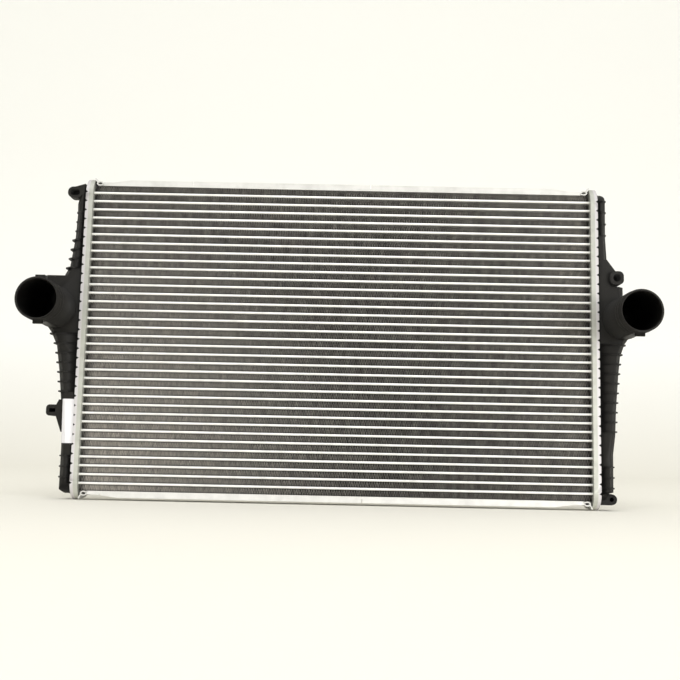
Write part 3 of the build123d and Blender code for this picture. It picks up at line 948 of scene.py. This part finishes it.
class COOLER_OT_tanks(bpy.types.Operator):
    """Finishes the moulded tanks"""

    bl_idname = "cooler.tanks"
    bl_label = "Finish Tanks"

    bead_steps = 96

    def beads(self, settings, plastic):
        """Low moulded beads round each barrel."""
        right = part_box("tank_right")
        radius, proud, width = settings.port_radius, settings.bead_proud, settings.bead_width
        axis = right[1].x - radius - CORE_MIDDLE.x
        section = (
            (-width / 2, -proud), (-width / 4, proud), (width / 4, proud), (width / 2, -proud),
        )
        verts, faces = [], []
        size = len(section)
        for way, back in ((way, back) for way in (-1, 1) for back in settings.bead_places):
            first = len(verts)
            for step in range(self.bead_steps):
                angle = 2 * math.pi * step / self.bead_steps
                for along, lift in section:
                    reach = radius + lift
                    verts.append((
                        CORE_MIDDLE.x + way * axis + reach * math.cos(angle),
                        right[0].y + back + along,
                        settings.port_height + reach * math.sin(angle),
                    ))
                near = first + step * size
                far = first + (step + 1) % self.bead_steps * size
                for i in range(size - 1):
                    faces.append((near + i, near + i + 1, far + i + 1, far + i))
        made = mesh_object("port_beads", verts, faces)
        made.data.shade_smooth()
        paint(made, plastic)
        finish_piece(made, "tank_plastic")

    def execute(self, context):
        settings = context.scene.cooler_tanks
        plastic = plastic_material("tank_plastic", tuple(settings.colour))
        for node in ("tank_right", "tank_left"):
            tank = copy_of(node, node + "_finished")
            paint(tank, plastic)
            smooth(tank, settings.corner_angle)
            weighted = tank.modifiers.new("corners", "WEIGHTED_NORMAL")
            weighted.keep_sharp = True
            finish_piece(tank, "tank_plastic", node)
        self.beads(settings, plastic)
        return {"FINISHED"}


class COOLER_OT_gaskets(bpy.types.Operator):
    """Gives the gaskets their rubber finish"""

    bl_idname = "cooler.gaskets"
    bl_label = "Finish Gaskets"

    def execute(self, context):
        colour = tuple(context.scene.cooler_tanks.gasket_colour)
        rubber = plain_material("gasket_rubber", colour, rough=0.7)
        for node in ("gasket_right", "gasket_left"):
            paint(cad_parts[node], rubber)
        return {"FINISHED"}


class COOLER_OT_label(bpy.types.Operator):
    """Laps the blank label over the neck and round the corner of the tank"""

    bl_idname = "cooler.label"
    bl_label = "Finish Label"

    edge = 0.0001  # what lies this near to a side of the label belongs to that side

    def execute(self, context):
        settings = context.scene.cooler_label
        low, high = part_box("label")
        top_lap, bottom_lap = settings.left_laps
        label = copy_of("label", "label_finished")
        for corner in (vertex.co for vertex in label.data.vertices):
            if corner.x > high.x - self.edge:
                corner.x += settings.right_lap
            elif corner.y > high.y - self.edge:
                down = (high.z - corner.z) / (high.z - low.z)
                lap = top_lap + (bottom_lap - top_lap) * down
                corner.x -= lap
                if corner.z < low.z + self.edge:
                    corner.y += lap
        paint(label, plain_material("label_film", tuple(settings.colour), rough=0.45))
        finish_piece(label, "label_film", "label")
        return {"FINISHED"}


class COOLER_OT_stage(bpy.types.Operator):
    """Builds the sweep, the sky, the lamps and the camera"""

    bl_idname = "cooler.stage"
    bl_label = "Build Stage"

    curve_steps = 32

    def lamp(self, name, place, size, power):
        """A soft square lamp that shines at the core's middle."""
        light = bpy.data.lights.new(name, "AREA")
        light.size = size
        light.energy = power
        made = bpy.data.objects.new(name, light)
        made.location = place
        made.rotation_euler = (CORE_MIDDLE - Vector(place)).to_track_quat("-Z", "Y").to_euler()
        bpy.context.scene.collection.objects.link(made)

    def sweep(self, settings):
        """A floor that curves up into a wall behind the cooler, warmer near the floor."""
        radius, half = settings.sweep_radius, settings.sweep_width / 2
        start = CORE_MIDDLE.y + settings.sweep_back
        profile = [(start - settings.sweep_width, FLOOR)]
        for step in range(self.curve_steps + 1):
            angle = math.pi / 2 * step / self.curve_steps
            profile.append(
                (start + radius * math.sin(angle), FLOOR + radius * (1 - math.cos(angle)))
            )
        profile.append((start + radius, FLOOR + half))
        verts = [(CORE_MIDDLE.x + x, y, z) for y, z in profile for x in (-half, half)]
        faces = [(2 * i, 2 * i + 1, 2 * i + 3, 2 * i + 2) for i in range(len(profile) - 1)]
        made = mesh_object("sweep", verts, faces)
        made.data.shade_smooth()
        material, build, shader, place = new_material("sweep")
        height = coordinate(build, place, "Z")
        high = spread(build, height, (FLOOR, FLOOR + settings.warm_height), MASK)
        colours = blend_colours(
            build, high, tuple(settings.floor_colour), tuple(settings.wall_colour)
        )
        build.tree.links.new(colours, shader.inputs["Base Color"])
        shader.inputs["Roughness"].default_value = 0.8
        shader.inputs["Specular IOR Level"].default_value = 0.0
        paint(made, material)

    def sky(self, settings):
        """A bright sky that is a little weaker toward both sides."""
        world = bpy.data.worlds.new("studio")
        world.use_nodes = True
        build = Tree(world.node_tree)
        backdrop = world.node_tree.nodes["Background"]
        backdrop.inputs["Color"].default_value = (*settings.sky_colour, 1.0)
        direction = build.node("ShaderNodeTexCoord").outputs["Generated"]
        sideways = maths(build, "ABSOLUTE", coordinate(build, direction, "X"))
        strength = spread(build, sideways, settings.side_span, (settings.sky, settings.side_sky))
        build.tree.links.new(strength, backdrop.inputs["Strength"])
        bpy.context.scene.world = world

    def camera(self, settings):
        """The camera in front of the cooler, turned by its pitch, yaw and roll."""
        camera = bpy.data.objects.new("camera", bpy.data.cameras.new("camera"))
        camera.data.lens = settings.lens
        camera.data.sensor_width = 36.0
        camera.data.clip_end = 100.0
        pitch, yaw, roll = settings.camera_pitch, settings.camera_yaw, settings.camera_roll
        turn = (
            Matrix.Rotation(-yaw, 4, "Z")
            @ Matrix.Rotation(math.pi / 2 + pitch, 4, "X")
            @ Matrix.Rotation(roll, 4, "Z")
        )
        camera.matrix_world = Matrix.Translation(settings.camera_place) @ turn
        bpy.context.scene.collection.objects.link(camera)
        bpy.context.scene.camera = camera

    def execute(self, context):
        settings = context.scene.cooler_stage
        self.sweep(settings)
        self.sky(settings)
        self.lamp("key", settings.key_place, settings.key_size, settings.key_power)
        self.lamp("top", settings.top_place, settings.top_size, settings.top_power)
        self.camera(settings)
        context.scene.view_settings.view_transform = "Standard"
        return {"FINISHED"}


class COOLER_PT_panel(bpy.types.Panel):
    """Lists the steps that finish the intercooler"""

    bl_label = "Intercooler"
    bl_idname = "COOLER_PT_panel"
    bl_space_type = "VIEW_3D"
    bl_region_type = "UI"
    bl_category = "Intercooler"

    def draw(self, context):
        for step in STEPS:
            self.layout.operator(step.bl_idname)


PROPERTIES = {
    "cooler_fins": FinProperties,
    "cooler_tubes": TubeProperties,
    "cooler_metal": MetalProperties,
    "cooler_tanks": TankProperties,
    "cooler_label": LabelProperties,
    "cooler_stage": StageProperties,
}
STEPS = (
    COOLER_OT_tubes,
    COOLER_OT_fins,
    COOLER_OT_headers,
    COOLER_OT_side_plates,
    COOLER_OT_tanks,
    COOLER_OT_gaskets,
    COOLER_OT_label,
    COOLER_OT_stage,
)


def register():
    """Adds the classes and their settings to Blender."""
    for made in (*PROPERTIES.values(), *STEPS, COOLER_PT_panel):
        bpy.utils.register_class(made)
    for name, group in PROPERTIES.items():
        setattr(bpy.types.Scene, name, bpy.props.PointerProperty(type=group))


def unregister():
    """Takes the settings and the classes out again."""
    for name in PROPERTIES:
        delattr(bpy.types.Scene, name)
    for made in (COOLER_PT_panel, *reversed(STEPS), *reversed(PROPERTIES.values())):
        bpy.utils.unregister_class(made)


def main():
    """Registers the add-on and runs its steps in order."""
    register()
    mould_grain_group()
    drawn_metal_group()
    for step in STEPS:
        group, name = step.bl_idname.split(".")
        getattr(getattr(bpy.ops, group), name)()


if __name__ == "__main__":
    main()
